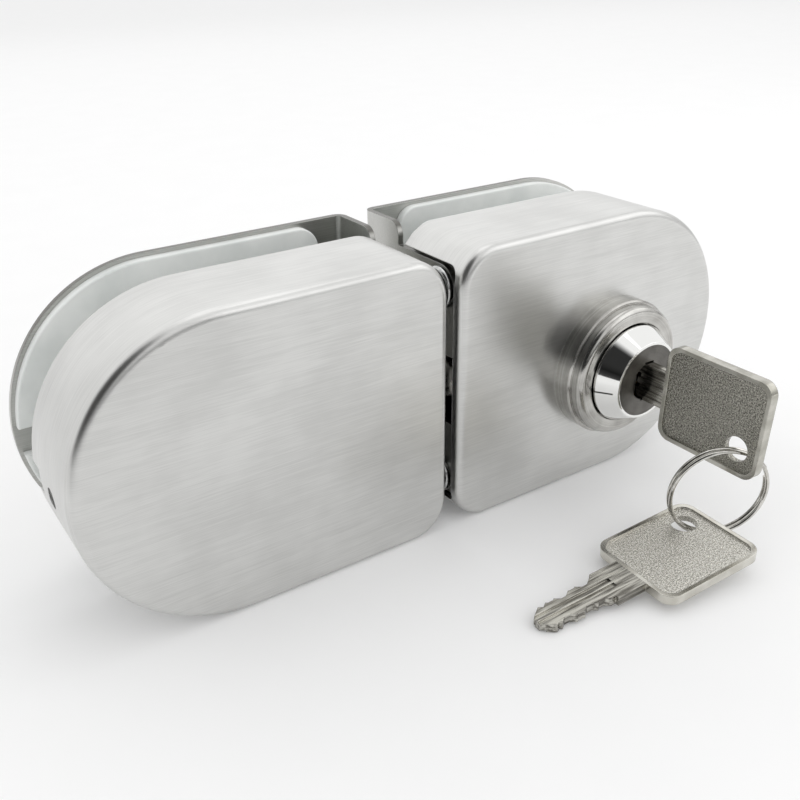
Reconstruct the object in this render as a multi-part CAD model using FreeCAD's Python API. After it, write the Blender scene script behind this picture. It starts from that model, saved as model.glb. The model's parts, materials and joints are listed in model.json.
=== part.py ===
import FreeCAD, Part
import math
import os

V = FreeCAD.Vector

# Lengths are millimetres and angles degrees. X runs along the door from the strike half to the lock half,
# Y from the covers' front faces to the back, and Z up. Until the last step x is measured from the middle
# of the meeting gap, y from the covers' front faces and z from the flat under the halves.

# Halves
half_length = 82.0
half_height = 66.0
meeting_gap = 3.0
cover_depth = 22.7
cover_wall = 1.2
corner_radius = 9.0
cover_edge_radius = 1.9
window_front = 2.8
window_margin = 4.2
window_radius = 3.0
end_notch_height = 6.0
end_notch_depth = 4.0

# Back bracket, bent from one sheet
bracket_sheet = 1.3
bracket_back = 40.2
flange_setback = 1.5
flange_front = 4.5
flange_margin = 5.0
flange_round = 3.0
flange_corner = 5.0
bend_radius = 1.2
clamp_in = 2.5
clamp_out = 1.2
slide_clearance = 0.1
cover_flange_gap = 0.3

# Pads
rear_pad = 2.0
rear_pad_start = 9.5
pad_inset = 0.8
pad_corner_radius = 5.0
lock_pad = 3.4
strike_pad = 0.9
pad_notch_length = 5.0
pad_edge_radius = 0.4
front_pad_gap = 0.2
lip_inset = 0.7
lip_gap = 0.1

# Chassis
chassis_sheet = 2.0
chassis_front = 20.0
chassis_clearance = 0.4
chassis_corner = 5.0
tab_margin = 4.6
tab_height = 14.0
tab_front = 4.0
end_block_length = 7.0
end_block_height = 10.0
end_block_front = 7.5
end_block_gap = 0.3
low_foot_height = 6.0

# Flange screws and cover grub screws
screw_line = 9.3
screw_inset = 10.0
low_screw_line = 18.0
low_screw_height = 9.2
screw_radius = 2.5
screw_head_radius = 4.7
screw_head_height = 1.5
screw_head_roundness = 0.6  # of the head's height
screw_socket = 3.0
screw_socket_depth = 1.0
screw_reach = 1.2
grub_radius = 2.0
grub_length = 6.0
grub_socket = 2.0
grub_socket_depth = 1.2
grub_line = 12.0
screw_clearance = 0.15
seat_clearance = 0.05

# Cylinder, collar and nut
cylinder_x = 46.25
cylinder_z = 30.5
plug_radius = 8.7
plug_clearance = 0.05
plug_face = -13.2
bezel_rim_width = 0.6
bezel_radius = 11.85
bezel_base = -8.4
bezel_seat = -5.0
body_radius = 11.0
body_clearance = 0.3
body_end = 9.0
body_rear_wall = 1.5
collar_base_radius = 16.6
collar_base_height = 4.6
collar_front_radius = 15.9
collar_front = -7.6
collar_step_chamfer = 0.4
collar_round = 1.7
collar_bore_clearance = 0.35
nut_radius = 13.4
nut_height = 2.6

# Plug, wafers and springs
plug_end_gap = 0.3
plug_tail_radius = 3.0
plug_tail_length = 1.4
keyway_clearance = 0.3
keyway_end_wall = 0.8
mouth_radius = 4.6
mouth_depth = 2.0
wafer_count = 5
wafer_first = -9.5
wafer_pitch = 2.9
wafer_sheet = 1.3
wafer_width = 7.0
wafer_edge_gap = 0.25
wafer_slot_clearance = 0.1
wafer_window_clearance = 0.4
spring_radius = 0.5
spring_length = 3.4
spring_pocket_clearance = 0.12
spring_side_wall = 0.3

# Keys
bow_length = 27.0
bow_width = 23.0
bow_corner = 3.2
key_sheet = 2.2
bow_rim = 1.0
bow_recess = 0.4
key_hole_radius = 2.9
key_hole_from_end = 5.9
key_hole_offset = 5.6
neck_length = 7.5
neck_width = 9.1
neck_overlap = 0.5
blade_length = 17.5
blade_width = 7.4
blade_tip = 2.6
groove_width = 1.1
groove_depth = 0.45
groove_land = 0.3
upper_groove_spread = 0.9  # of the grooves' pitch
lower_groove_spread = 0.6
groove_in_neck = 0.45  # of the neck's length
cut_depths = [0.9, 1.3, 0.6, 1.4, 1.0]
lower_cut_depths = [1.2, 0.5, 1.4, 0.8, 1.3]
cut_pitch = 2.9
cut_first = 3.0
cut_flat = 1.3
cut_slope = 0.75
bow_from_cover = 19.1

# Split ring
ring_radius = 10.9
ring_wire = 0.9
ring_pitch = 1.32
ring_turns = 1.94
ring_heading = 30.0
ring_lean = 13.0
ring_first_end = 75.0
ring_drop = 0.4
spare_ring_angle = 216.6
spare_heading = -3.0

# Hook, gears and rack
opening_z = 32.6
opening_radius = 8.3
hook_pivot_x = 14.5
hook_radius = 25.0
bolt_radius = 5.0
bolt_tip_x = 2.0
bolt_start = 48.0
web_start = 18.0
web_overlap = 2.0
web_front = 6.0
web_back = 12.6
web_gap = 0.4
hub_radius = 5.5
hub_front = 4.6
pin_radius = 2.5
pin_clearance = 0.05
pin_shoulder_radius = 3.6
gear_front = 15.3
gear_width = 3.0
gear_module = 1.0
pinion_teeth = 12
sector_teeth = 16
key_turn = 90.0
addendum = 0.85
dedendum = 1.1
tooth_share = 0.36
tooth_slope = 0.36
tooth_root = 0.3
sector_lead = 14.0
sector_tail = 6.0
pinion_hub_wall = 1.4
rack_back = 25.5
rack_low = 17.4
rack_gap = 0.45
guide_x = 27.0
guide_z = 22.6
guide_length = 6.0
guide_height = 2.4
guide_clearance = 0.3
guide_head = 0.5
guide_head_lip = 1.1
clip_width = 0.6
clip_radius = 4.4
clip_groove = 0.6
clip_side_gap = 0.1
clip_opening = 3.2
strike_slot_low = 13.2
strike_slot_high = 36.6
strike_slot_corner = 2.0
hook_clearance = 0.4

# Case lid, posts and dust box
lid_front = 2.7
lid_sheet = 1.0
lid_margin = 3.2
lid_end = 64.0
lid_cylinder_gap = 1.0
post_radius = 3.0
case_screw_radius = 1.2
case_screw_head = 2.2
case_screw_head_height = 0.8
case_screw_length = 5.0
case_screw_slot = 0.6
gap_post = (12.0, 10.0)
end_post = (62.0, 12.0)
low_post = (60.5, 12.0)
hook_post = (37.0, 7.0)
dust_wall = 0.8
dust_low = 14.0
dust_foot = 5.0

# Worked out from the sizes above
half_x = meeting_gap / 2
end_x = half_x + half_length
mid_z = half_height / 2
end_center_x = end_x - mid_z
flange_x = half_x + flange_setback
flange_inner_x = flange_x + bracket_sheet
tab_x = flange_inner_x + slide_clearance
tab_inner_x = tab_x + chassis_sheet
bracket_front = bracket_back - bracket_sheet
flange_shoulder = cover_depth + clamp_in + cover_flange_gap
chassis_back = chassis_front + chassis_sheet
hook_pivot_z = opening_z - math.sqrt(hook_radius ** 2 - (hook_pivot_x - flange_x) ** 2)
bolt_tip_angle = 180 - math.degrees(math.acos((hook_pivot_x - bolt_tip_x) / hook_radius))
bolt_end = bolt_tip_angle - math.degrees(2 * math.asin(bolt_radius / hook_radius / 2))
pinion_radius = gear_module * pinion_teeth / 2
sector_radius = gear_module * sector_teeth / 2
rack_travel = pinion_radius * math.radians(key_turn)
hook_swing = math.degrees(rack_travel / sector_radius)
gear_back = gear_front + gear_width
plug_bore = plug_radius + plug_clearance
tail_bore = plug_tail_radius + plug_clearance
plug_end = body_end - body_rear_wall - plug_end_gap
hole_y = -(bow_from_cover + bow_length - key_hole_from_end)
hole_z = cylinder_z - key_hole_offset
post_points = [
    (gap_post[0], half_height - gap_post[1]), (end_post[0], half_height - end_post[1]),
    low_post, hook_post,
]


def box(x0, x1, y0, y1, z0, z1):
    return Part.makeBox(x1 - x0, y1 - y0, z1 - z0, V(x0, y0, z0))


def cylinder_y(x, z, radius, y0, y1):
    return Part.makeCylinder(radius, y1 - y0, V(x, y0, z), V(0, 1, 0))


def cylinder_x_axis(y, z, radius, x0, x1):
    return Part.makeCylinder(radius, x1 - x0, V(x0, y, z), V(1, 0, 0))


def hexagon_x(y, z, across, x0, x1):
    corners = []
    for step in range(7):
        angle = math.radians(60 * step)
        radius = across / math.sqrt(3)
        corners.append(V(x0, y + radius * math.cos(angle), z + radius * math.sin(angle)))
    return Part.Face(Part.makePolygon(corners)).extrude(V(x1 - x0, 0, 0))


def hexagon_y(x, z, across, y0, y1):
    corners = []
    for step in range(7):
        angle = math.radians(60 * step)
        radius = across / math.sqrt(3)
        corners.append(V(x + radius * math.cos(angle), y0, z + radius * math.sin(angle)))
    return Part.Face(Part.makePolygon(corners)).extrude(V(0, y1 - y0, 0))


def line(a, b):
    return Part.LineSegment(a, b).toShape()


def arc(a, middle, b):
    return Part.Arc(a, middle, b).toShape()


def plane_arc(center, radius, start, end, at):
    """An arc from start to end degrees, where at(u, v) gives the point."""
    points = []
    for angle in (start, (start + end) / 2, end):
        turn = math.radians(angle)
        points.append(at(center[0] + radius * math.cos(turn), center[1] + radius * math.sin(turn)))
    return arc(*points)


def rounded_face(u0, u1, v0, v1, radius, at):
    """A rectangle with rounded corners in the plane given by at(u, v)."""
    edges = [
        line(at(u0 + radius, v0), at(u1 - radius, v0)),
        plane_arc((u1 - radius, v0 + radius), radius, -90, 0, at),
        line(at(u1, v0 + radius), at(u1, v1 - radius)),
        plane_arc((u1 - radius, v1 - radius), radius, 0, 90, at),
        line(at(u1 - radius, v1), at(u0 + radius, v1)),
        plane_arc((u0 + radius, v1 - radius), radius, 90, 180, at),
        line(at(u0, v1 - radius), at(u0, v0 + radius)),
        plane_arc((u0 + radius, v0 + radius), radius, 180, 270, at),
    ]
    return Part.Face(Part.Wire(edges))


def slot_face(u0, u1, v, radius, at):
    """A slot along u with round ends, in the plane given by at(u, v)."""
    edges = [
        line(at(u0 + radius, v - radius), at(u1 - radius, v - radius)),
        plane_arc((u1 - radius, v), radius, -90, 90, at),
        line(at(u1 - radius, v + radius), at(u0 + radius, v + radius)),
        plane_arc((u0 + radius, v), radius, 90, 270, at),
    ]
    return Part.Face(Part.Wire(edges))


def half_slab(inset, y0, y1, start=0.0, radius=None):
    """The half's outline drawn in by inset, as a slab: round at its end, two small corners at the gap."""
    x0 = half_x + inset + start
    corner = max(corner_radius - inset, 0.5) if radius is None else radius
    z0 = inset
    z1 = half_height - inset

    def at(x, z):
        return V(x, y0, z)

    edges = [
        line(at(x0 + corner, z0), at(end_center_x, z0)),
        arc(at(end_center_x, z0), at(end_x - inset, mid_z), at(end_center_x, z1)),
        line(at(end_center_x, z1), at(x0 + corner, z1)),
        plane_arc((x0 + corner, z1 - corner), corner, 90, 180, at),
        line(at(x0, z1 - corner), at(x0, z0 + corner)),
        plane_arc((x0 + corner, z0 + corner), corner, 180, 270, at),
    ]
    return Part.Face(Part.Wire(edges)).extrude(V(0, y1 - y0, 0))


def edges_at_y(shape, y):
    return [e for e in shape.Edges if abs(e.BoundBox.YMin - y) < 1e-4 and abs(e.BoundBox.YMax - y) < 1e-4]


def mirrored(shape):
    return shape.mirror(V(0, 0, 0), V(1, 0, 0))


def cover():
    outer = half_slab(0, 0, cover_depth)
    outer = outer.makeFillet(cover_edge_radius, edges_at_y(outer, 0))
    inner = half_slab(cover_wall, cover_wall, cover_depth + 1)
    inner = inner.makeFillet(cover_edge_radius - cover_wall, edges_at_y(inner, cover_wall))
    shell = outer.cut(inner)
    window = rounded_face(
        window_front, cover_depth + 2 * window_radius, window_margin, half_height - window_margin,
        window_radius, lambda y, z: V(half_x - 1, y, z))
    shell = shell.cut(window.extrude(V(corner_radius, 0, 0)))
    notch = box(
        end_x - 2 * cover_wall, end_x + 1, cover_depth - end_notch_depth, cover_depth + 1,
        mid_z - end_notch_height / 2, mid_z + end_notch_height / 2)
    grub_hole = cylinder_x_axis(
        grub_line, mid_z, grub_radius + screw_clearance, end_x - 2 * cover_wall, end_x + 1)
    return shell.cut([notch, grub_hole])


def lock_cover():
    hole = cylinder_y(cylinder_x, cylinder_z, body_radius + body_clearance, -1, cover_wall + 1)
    return cover().cut(hole)


def screw_slot(y, z):
    """The slot along Y that a flange screw passes, long enough for the clamp's travel."""
    radius = screw_radius + screw_clearance
    face = slot_face(
        y - clamp_out - radius, y + clamp_in + radius, z, radius, lambda u, v: V(flange_x - 1, u, v))
    return face.extrude(V(bracket_sheet + 2, 0, 0))


def bracket(screws, passage):
    """Back plate and flange in one bent sheet, cut for its screws and for the hook's passage."""
    outer_radius = bend_radius + bracket_sheet
    center_x = flange_inner_x + bend_radius
    center_y = bracket_front - bend_radius

    def at(x, y):
        return V(x, y, 0)

    sheet = Part.Face(Part.Wire([
        line(at(flange_x, flange_front), at(flange_x, center_y)),
        plane_arc((center_x, center_y), outer_radius, 180, 90, at),
        line(at(center_x, bracket_back), at(end_x, bracket_back)),
        line(at(end_x, bracket_back), at(end_x, bracket_front)),
        line(at(end_x, bracket_front), at(center_x, bracket_front)),
        plane_arc((center_x, center_y), bend_radius, 90, 180, at),
        line(at(flange_inner_x, center_y), at(flange_inner_x, flange_front)),
        line(at(flange_inner_x, flange_front), at(flange_x, flange_front)),
    ])).extrude(V(0, 0, half_height))

    def side(y, z):
        return V(flange_x - 1, y, z)

    full_y = flange_shoulder + flange_round
    low = flange_margin
    top = half_height - flange_margin
    round_top = half_height - flange_round
    flange_outline = Part.Face(Part.Wire([
        line(side(full_y, 0), side(bracket_back + 1, 0)),
        line(side(bracket_back + 1, 0), side(bracket_back + 1, half_height)),
        line(side(bracket_back + 1, half_height), side(full_y, half_height)),
        plane_arc((full_y, round_top), flange_round, 90, 180, side),
        line(side(flange_shoulder, round_top), side(flange_shoulder, top)),
        line(side(flange_shoulder, top), side(flange_front + flange_corner, top)),
        plane_arc((flange_front + flange_corner, top - flange_corner), flange_corner, 90, 180, side),
        line(side(flange_front, top - flange_corner), side(flange_front, low + flange_corner)),
        plane_arc((flange_front + flange_corner, low + flange_corner), flange_corner, 180, 270, side),
        line(side(flange_front + flange_corner, low), side(flange_shoulder, low)),
        line(side(flange_shoulder, low), side(flange_shoulder, flange_round)),
        plane_arc((full_y, flange_round), flange_round, 180, 270, side),
    ])).extrude(V(center_x - flange_x + 1, 0, 0))
    plate_outline = half_slab(0, full_y, bracket_back + 1, start=center_x - half_x, radius=bend_radius)
    bend_outline = box(center_x, center_x + 2 * bend_radius, full_y, bracket_back + 1, 0, half_height)
    blank = sheet.common(flange_outline.fuse([plate_outline, bend_outline])).removeSplitter()
    return blank.cut([screw_slot(y, z) for y, z in screws] + [passage])


def lock_passage():
    """The round opening that the bolt's nose shows in, open to the flange's front edge."""
    hole = cylinder_x_axis(screw_line, opening_z, opening_radius, flange_x - 1, flange_inner_x + 1)
    mouth = box(
        flange_x - 1, flange_inner_x + 1, flange_front - 1, screw_line,
        opening_z - opening_radius, opening_z + opening_radius)
    return hole.fuse(mouth)


def strike_passage():
    """The tall slot that the hook swings through and drops behind."""
    face = rounded_face(
        flange_front - 2 * strike_slot_corner, screw_line + bolt_radius + hook_clearance + clamp_in,
        strike_slot_low, strike_slot_high, strike_slot_corner, lambda y, z: V(flange_x - 1, y, z))
    return face.extrude(V(bracket_sheet + 2, 0, 0))


def rear_pad_piece():
    """The pad on the back plate, with the notch at its round end."""
    face = bracket_front - rear_pad
    pad = half_slab(
        pad_inset, face, bracket_front, start=rear_pad_start - pad_inset, radius=pad_corner_radius)
    pad = pad.makeFillet(pad_edge_radius, edges_at_y(pad, face))
    notch = box(
        end_x - pad_inset - pad_notch_length, end_x, face - 1, bracket_front + 1,
        mid_z - end_notch_height / 2, mid_z + end_notch_height / 2)
    return pad.cut(notch)


def front_pad_piece(thickness):
    """The pad on the chassis. A thick one has a lip that runs out over the cover's back edge."""
    inset = cover_wall + chassis_clearance + front_pad_gap
    face = chassis_back + thickness
    start = tab_inner_x - half_x
    pad = half_slab(inset, chassis_back, face, start=start - inset, radius=pad_corner_radius)
    lip_start = cover_depth + lip_gap
    if face - lip_start > 2 * pad_edge_radius:
        lip = half_slab(lip_inset, lip_start, face, start=start - lip_inset, radius=pad_corner_radius)
        pad = pad.fuse(lip).removeSplitter()
    return pad.makeFillet(pad_edge_radius, edges_at_y(pad, face))


def tapped(y, z):
    """The hole for a flange screw in a tab, with room for the screw's end behind it."""
    return cylinder_x_axis(y, z, screw_radius + seat_clearance, tab_x - 1, tab_inner_x + 2 * screw_reach)


def chassis_plate():
    inset = cover_wall + chassis_clearance
    return half_slab(inset, chassis_front, chassis_back, start=tab_x - half_x - inset, radius=chassis_corner)


def end_block():
    """The block at the round end that the cover's grub screw goes into."""
    x1 = end_x - cover_wall - chassis_clearance - end_block_gap
    block = box(
        x1 - end_block_length, x1, end_block_front, chassis_front,
        mid_z - end_block_height / 2, mid_z + end_block_height / 2)
    round_end = half_slab(cover_wall + chassis_clearance, end_block_front, chassis_front)
    return block.common(round_end)


def chassis_holes(screws):
    holes = [tapped(y, z) for y, z in screws]
    holes.append(cylinder_x_axis(
        grub_line, mid_z, grub_radius + seat_clearance, end_x - 2 * end_block_length, end_x))
    return holes


def high_tab():
    return box(
        tab_x, tab_inner_x, tab_front, chassis_front,
        half_height - tab_margin - tab_height, half_height - tab_margin)


def lock_chassis():
    tab_top = tab_margin + tab_height
    low_tab = box(tab_x, tab_inner_x, tab_front, gear_front - rack_gap, tab_margin, tab_top)
    low_foot = box(tab_x, tab_inner_x, tab_front, chassis_front, tab_margin, tab_margin + low_foot_height)
    solid = chassis_plate().fuse([high_tab(), low_tab, low_foot, end_block()]).removeSplitter()
    pin_hole = cylinder_y(hook_pivot_x, hook_pivot_z, pin_radius + seat_clearance, 0, chassis_back + 1)
    posts = [cylinder_y(x, z, case_screw_radius, chassis_front - 1, chassis_back + 1) for x, z in post_points]
    return solid.cut(chassis_holes(lock_screws) + [pin_hole] + posts)


def strike_chassis():
    front = screw_line + bolt_radius + hook_clearance
    low_tab = box(tab_x, tab_inner_x, front, chassis_back, tab_margin, strike_slot_low)
    solid = chassis_plate().fuse([high_tab(), low_tab, end_block()]).removeSplitter()
    return solid.cut(chassis_holes(strike_screws))


def flange_screw(y, z):
    """Low button head on the flange's outer face, shank through the flange into the tab."""
    seat = flange_x - slide_clearance
    face = seat - screw_head_height
    head = cylinder_x_axis(y, z, screw_head_radius, face, seat)
    rim = [e for e in head.Edges if abs(e.BoundBox.XMax - face) < 1e-4]
    head = head.makeFillet(screw_head_height * screw_head_roundness, rim)
    shank = cylinder_x_axis(y, z, screw_radius, seat, tab_inner_x + screw_reach)
    socket = hexagon_x(y, z, screw_socket, face - 1, face + screw_socket_depth)
    return head.fuse(shank).cut(socket)


def grub_screw():
    x1 = end_x - cover_wall / 2
    body = cylinder_x_axis(grub_line, mid_z, grub_radius, x1 - grub_length, x1)
    return body.cut(hexagon_x(grub_line, mid_z, grub_socket, x1 - grub_socket_depth, x1 + 1))


def hook_point(angle, radius):
    turn = math.radians(angle)
    return (hook_pivot_x + radius * math.cos(turn), hook_pivot_z + radius * math.sin(turn))


def sector_face(r0, r1, start, end, y):
    """A piece of a ring about the hook's pivot, seen from the front, between two angles."""
    def at(x, z):
        return V(x, y, z)

    center = (hook_pivot_x, hook_pivot_z)
    inner_start = at(*hook_point(start, r0))
    inner_end = at(*hook_point(end, r0))
    outer_start = at(*hook_point(start, r1))
    outer_end = at(*hook_point(end, r1))
    return Part.Face(Part.Wire([
        line(inner_start, outer_start),
        plane_arc(center, r1, start, end, at),
        line(outer_end, inner_end),
        plane_arc(center, r0, end, start, at),
    ]))


def tooth(center, pitch_radius, angle, y):
    """One gear tooth with straight flanks, pointing out at the given angle."""
    circular_pitch = math.pi * gear_module
    half_width = tooth_share * circular_pitch / 2
    root = -dedendum - tooth_root
    radial = V(math.cos(math.radians(angle)), 0, math.sin(math.radians(angle)))
    across = V(-radial.z, 0, radial.x)
    origin = V(center[0], y, center[1])
    corners = []
    for reach, sign in ((root, 1), (addendum, 1), (addendum, -1), (root, -1)):
        width = half_width - tooth_slope * reach
        corners.append(origin + radial * (pitch_radius + reach) + across * (sign * width))
    corners.append(corners[0])
    return Part.Face(Part.makePolygon(corners)).extrude(V(0, gear_width, 0))


def drive_pinion():
    center = (cylinder_x, cylinder_z)
    blank = cylinder_y(cylinder_x, cylinder_z, pinion_radius - dedendum, gear_front, gear_back)
    sleeve_radius = plug_tail_radius + pinion_hub_wall
    hub = cylinder_y(cylinder_x, cylinder_z, sleeve_radius, body_end + plug_end_gap, gear_front)
    angles = [-90 + 360 * k / pinion_teeth for k in range(pinion_teeth)]
    teeth = [tooth(center, pinion_radius, angle, gear_front) for angle in angles]
    bore = cylinder_y(cylinder_x, cylinder_z, plug_tail_radius + seat_clearance, body_end, gear_back + 1)
    return blank.fuse([hub] + teeth).removeSplitter().cut(bore)


def pinion_clip():
    y0 = gear_back + clip_side_gap
    half_gap = clip_opening / 2
    ring = cylinder_y(cylinder_x, cylinder_z, clip_radius, y0, y0 + clip_width)
    bore_radius = plug_tail_radius - clip_groove + seat_clearance
    bore = cylinder_y(cylinder_x, cylinder_z, bore_radius, y0 - 1, y0 + 2)
    gap = box(
        cylinder_x - half_gap, cylinder_x + half_gap, y0 - 1, y0 + 2,
        cylinder_z, cylinder_z + clip_radius + 1)
    return ring.cut([bore, gap])


def hook_bolt():
    """The round bolt bent about the pivot, its web, hub and toothed sector, in one casting."""
    start = hook_point(bolt_start, hook_radius)
    radial = V(math.cos(math.radians(bolt_start)), 0, math.sin(math.radians(bolt_start)))
    normal = radial.cross(V(0, 1, 0))
    circle = Part.Circle(V(start[0], screw_line, start[1]), normal, bolt_radius)
    face = Part.Face(Part.Wire([circle.toShape()]))
    axis_point = V(hook_pivot_x, 0, hook_pivot_z)
    bolt = face.revolve(axis_point, V(0, -1, 0), bolt_end - bolt_start)
    nose_point = hook_point(bolt_end, hook_radius)
    nose = Part.makeSphere(bolt_radius, V(nose_point[0], screw_line, nose_point[1]))
    reach = math.dist((cylinder_x, cylinder_z), (hook_pivot_x, hook_pivot_z)) - body_radius - web_gap
    web = sector_face(hub_radius - 1, reach, web_start, bolt_start + web_overlap, web_front)
    web = web.extrude(V(0, web_back - web_front, 0))
    hub = cylinder_y(hook_pivot_x, hook_pivot_z, hub_radius, hub_front, gear_back)
    teeth_from = 90 - hook_swing - sector_lead
    teeth_to = 90 + sector_tail
    root = sector_face(hub_radius - 1, sector_radius - dedendum, teeth_from, teeth_to, gear_front)
    root = root.extrude(V(0, gear_width, 0))
    center = (hook_pivot_x, hook_pivot_z)
    teeth = []
    for k in range(-1, sector_teeth):
        angle = 90 + 360 * -k / sector_teeth
        if teeth_from < angle < teeth_to:
            teeth.append(tooth(center, sector_radius, angle, gear_front))
    bore = cylinder_y(
        hook_pivot_x, hook_pivot_z, pin_radius + pin_clearance, hub_front - 1, gear_back + 1)
    return bolt.fuse([nose, web, hub, root] + teeth).removeSplitter().cut(bore)


def hook_pin():
    shaft = cylinder_y(hook_pivot_x, hook_pivot_z, pin_radius, lid_front, chassis_back)
    shoulder_end = hub_front - hook_clearance
    shoulder = cylinder_y(
        hook_pivot_x, hook_pivot_z, pin_shoulder_radius, lid_front + lid_sheet, shoulder_end)
    return shaft.fuse(shoulder).removeSplitter()


def rack_tooth(x, pitch_z, up):
    circular_pitch = math.pi * gear_module
    half_width = tooth_share * circular_pitch / 2
    root = -dedendum - tooth_root
    corners = []
    for reach, sign in ((root, 1), (addendum, 1), (addendum, -1), (root, -1)):
        width = half_width - tooth_slope * reach
        corners.append(V(x + sign * width, gear_front, pitch_z + up * reach))
    corners.append(corners[0])
    return Part.Face(Part.makePolygon(corners)).extrude(V(0, gear_width, 0))


def drive_rack():
    """The rack under the pinion and over the hook's sector, with the slot that guides it."""
    circular_pitch = math.pi * gear_module
    pinion_line = cylinder_z - pinion_radius
    sector_line = hook_pivot_z + sector_radius
    travel_teeth = math.ceil(rack_travel / circular_pitch)
    sector_reach = [hook_pivot_x + circular_pitch * (k + 0.5) for k in range(travel_teeth + 2)]
    pinion_reach = [cylinder_x + circular_pitch * (k - 1.5) for k in range(travel_teeth + 4)]
    left = hook_pivot_x + tooth_root
    low_end = sector_reach[-1] + circular_pitch / 2
    high_start = pinion_reach[0] - circular_pitch / 2
    high_end = pinion_reach[-1] + circular_pitch / 2
    bars = [
        box(left, low_end, gear_front, gear_back, sector_line + dedendum, rack_back),
        box(low_end, high_start, gear_front, gear_back, rack_low, rack_back),
        box(high_start, high_end, gear_front, gear_back, rack_low, pinion_line - dedendum),
    ]
    teeth = [rack_tooth(x, sector_line, -1) for x in sector_reach]
    teeth += [rack_tooth(x, pinion_line, 1) for x in pinion_reach]
    solid = bars[0].fuse(bars[1:] + teeth).removeSplitter()
    free_reach = guide_length / 2 + guide_clearance
    slot = slot_face(
        guide_x - free_reach, guide_x + free_reach + rack_travel, guide_z,
        guide_height / 2 + guide_clearance, lambda x, z: V(x, gear_front - 1, z))
    return solid.cut(slot.extrude(V(0, gear_width + 2, 0)))


def rack_guide():
    half = guide_height / 2
    stem = slot_face(
        guide_x - guide_length / 2, guide_x + guide_length / 2, guide_z, half,
        lambda x, z: V(x, gear_front - guide_clearance, z))
    stem = stem.extrude(V(0, chassis_front - gear_front + guide_clearance, 0))
    head = slot_face(
        guide_x - guide_length / 2 - guide_head_lip, guide_x + guide_length / 2 + guide_head_lip,
        guide_z, half + guide_head_lip, lambda x, z: V(x, gear_front - guide_clearance - guide_head, z))
    return stem.fuse(head.extrude(V(0, guide_head, 0))).removeSplitter()


def case_lid():
    inset = cover_wall + chassis_clearance
    start = tab_inner_x - half_x - inset
    plate = half_slab(inset, lid_front, lid_front + lid_sheet, start=start, radius=chassis_corner)
    keep = box(0, lid_end, 0, chassis_front, lid_margin, half_height - lid_margin)
    plate = plate.common(keep)
    nut_hole = cylinder_y(cylinder_x, cylinder_z, nut_radius * 2 / math.sqrt(3) + lid_cylinder_gap, 0, 10)
    pin_hole = cylinder_y(hook_pivot_x, hook_pivot_z, pin_radius + seat_clearance, 0, 10)
    screw_holes = [cylinder_y(x, z, case_screw_radius + seat_clearance, 0, 10) for x, z in post_points]
    return plate.cut([nut_hole, pin_hole] + screw_holes)


def case_posts():
    posts = []
    for x, z in post_points:
        front = lid_front + lid_sheet
        post = cylinder_y(x, z, post_radius, front, chassis_front)
        hole = cylinder_y(x, z, case_screw_radius + seat_clearance, 0, front + case_screw_length)
        posts.append(post.cut(hole))
    return posts


def case_screws():
    screws = []
    for x, z in post_points:
        head = cylinder_y(x, z, case_screw_head, lid_front - case_screw_head_height, lid_front)
        shank = cylinder_y(x, z, case_screw_radius, lid_front, lid_front + case_screw_length)
        half_slot = case_screw_slot / 2
        slot = box(
            x - half_slot, x + half_slot, 0, lid_front - case_screw_head_height / 2,
            z - 2 * case_screw_head, z + 2 * case_screw_head)
        screws.append(head.fuse(shank).removeSplitter().cut(slot))
    return screws


def turned(points):
    """A solid turned about the cylinder's axis from (radius, y) corners."""
    corners = [V(cylinder_x + radius, y, cylinder_z) for radius, y in points]
    corners.append(corners[0])
    face = Part.Face(Part.makePolygon(corners))
    return face.revolve(V(cylinder_x, 0, cylinder_z), V(0, 1, 0), 360)


def cylinder_body():
    """Chrome bezel cone, threaded barrel and rear wall in one piece."""
    rear = body_end - body_rear_wall
    return turned([
        (plug_bore, plug_face), (plug_bore + bezel_rim_width, plug_face),
        (bezel_radius, bezel_base), (bezel_radius, bezel_seat),
        (body_radius, bezel_seat), (body_radius, body_end), (tail_bore, body_end),
        (tail_bore, rear), (plug_bore, rear),
    ])


def cylinder_collar():
    """Two-step collar between the bezel and the cover."""
    bore = bezel_radius + collar_bore_clearance
    inner = body_radius + body_clearance
    base = -collar_base_height
    collar = turned([
        (inner, 0), (collar_base_radius, 0), (collar_base_radius, base + collar_step_chamfer),
        (collar_base_radius - collar_step_chamfer, base), (collar_front_radius, base),
        (collar_front_radius, collar_front), (bore, collar_front), (bore, bezel_seat), (inner, bezel_seat),
    ])
    front = [e for e in edges_at_y(collar, collar_front) if e.Curve.Radius > bore + collar_round]
    return collar.makeFillet(collar_round, front)


def cylinder_nut():
    nut = hexagon_y(cylinder_x, cylinder_z, 2 * nut_radius, cover_wall, cover_wall + nut_height)
    return nut.cut(cylinder_y(cylinder_x, cylinder_z, body_radius + seat_clearance, 0, 10))


def wafer_places():
    return [wafer_first + wafer_pitch * k for k in range(wafer_count)]


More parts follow.
